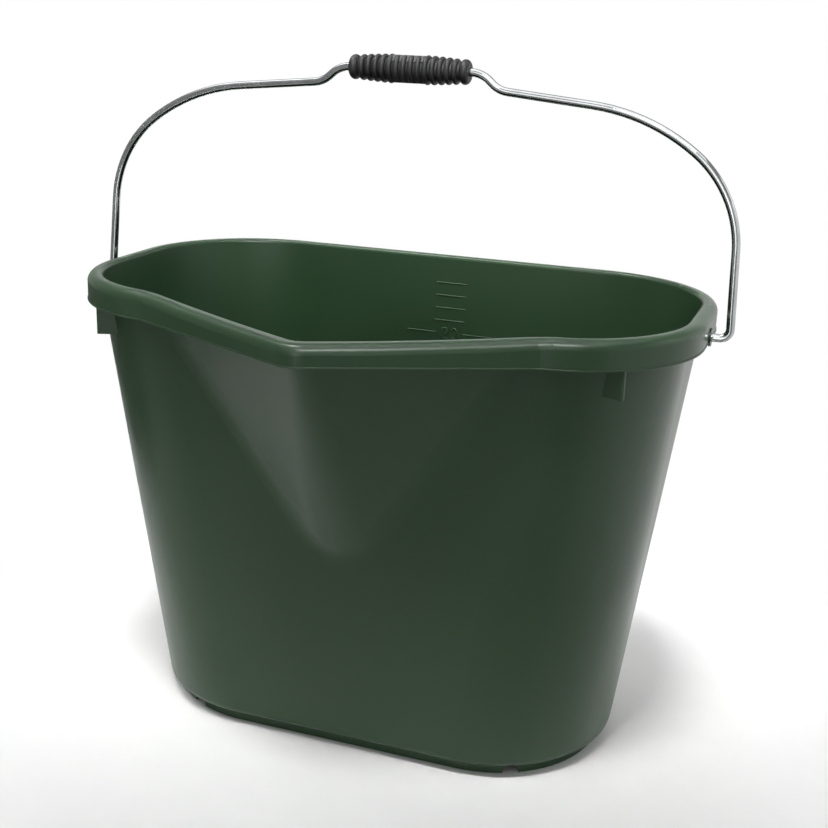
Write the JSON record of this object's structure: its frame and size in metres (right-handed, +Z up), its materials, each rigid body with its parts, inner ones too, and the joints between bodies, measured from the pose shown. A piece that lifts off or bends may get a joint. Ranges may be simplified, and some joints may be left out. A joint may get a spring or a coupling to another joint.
{
  "type": "builders bucket",
  "caption": "Oval builders bucket with a pouring spout, turned-down rim and foot ring, and a swinging wire bail with a ribbed roller grip, for carrying and pouring water, mortar or rubble.",
  "frame": {"origin": "on the ground, in the plane of the foot ring, under the middle of the box around the bucket", "axes": "+X along the bucket, parallel to the bail's pivot axis, -Y towards the spout, +Z up"},
  "size_m": [0.497, 0.3222, 0.506],
  "materials": {
    "green_plastic": "satin, moulded dark green polyethylene",
    "zinc_wire": "bright zinc plate",
    "black_plastic": "satin, moulded black"
  },
  "bodies": {
    "bucket": {"bucket_body": "green_plastic"},
    "handle": {"bail": "zinc_wire"},
    "roller": {"grip": "black_plastic"}
  },
  "joints": [
    {"name": "bail_swing", "type": "hinge", "parent": "bucket", "child": "handle", "pos_m": [0, 0.03339, 0.3263], "axis": [1, 0, 0], "range_deg": [-126, 86.5]},
    {"name": "grip_spin", "type": "hinge", "parent": "handle", "child": "roller", "pos_m": [0, 0.04611, 0.49552], "axis": [1, 0, 0], "continuous": true}
  ]
}
